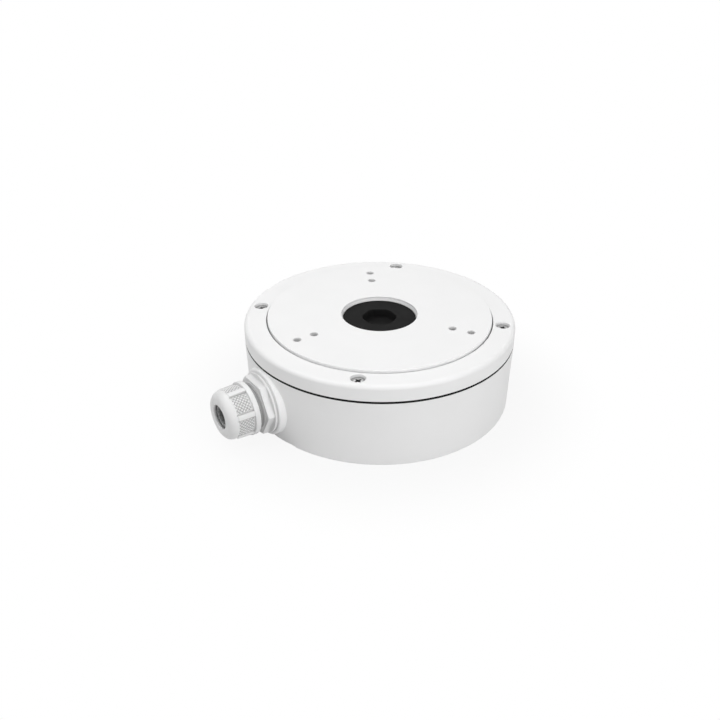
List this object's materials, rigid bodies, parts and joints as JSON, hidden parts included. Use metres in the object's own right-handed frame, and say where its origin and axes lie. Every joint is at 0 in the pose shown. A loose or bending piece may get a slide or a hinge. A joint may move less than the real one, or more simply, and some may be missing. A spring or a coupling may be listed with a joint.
{
  "type": "camera junction box",
  "caption": "Round white cast metal junction box for a security camera, with a raised camera face, sunk cover screws, a rubber cable grommet in the middle and a cable gland in the side",
  "frame": {"origin": "on the box's axis at its flat underside, the centre of the wall-fixing holes", "axes": "+Z out of the camera face, away from the wall; -Y towards the viewer of the picture; the gland points 215 degrees round from +X"},
  "size_m": [0.172, 0.157, 0.0519],
  "materials": {
    "cast_body": "white powder coat, satin",
    "gland_plastic": "satin white nylon",
    "gasket_rubber": "matt black",
    "seal_rubber": "matt dark grey",
    "washer_rubber": "matt light grey",
    "screw_steel": "plain stainless steel"
  },
  "bodies": {
    "housing": {"base_housing": "cast_body", "cover": "cast_body", "cover_gasket": "gasket_rubber", "cover_screws": "screw_steel", "cable_grommet": "gasket_rubber", "rear_entry_plug": "gland_plastic", "rear_plug_o_ring": "gasket_rubber", "earth_washer": "screw_steel", "earth_screw": "screw_steel", "gland_washer": "washer_rubber", "gland_body": "gland_plastic", "gland_locknut": "gland_plastic"},
    "gland_insert": {"gland_cage": "gland_plastic", "gland_seal": "seal_rubber"},
    "gland_nut": {"gland_dome_nut": "gland_plastic"}
  },
  "joints": [
    {"name": "insert_travel", "type": "slide", "parent": "housing", "child": "gland_insert", "axis": [-0.8192, -0.5736, 0], "range_m": [0, 0.0045]},
    {"name": "nut_turn", "type": "hinge", "parent": "gland_insert", "child": "gland_nut", "pos_m": [-0.07946, -0.05564, 0.02], "axis": [-0.8192, -0.5736, 0], "range_deg": [0, 1081]}
  ],
  "couplings": [
    {"joint": "nut_turn", "follows": "insert_travel", "rad_per_m": 4188.8}
  ]
}
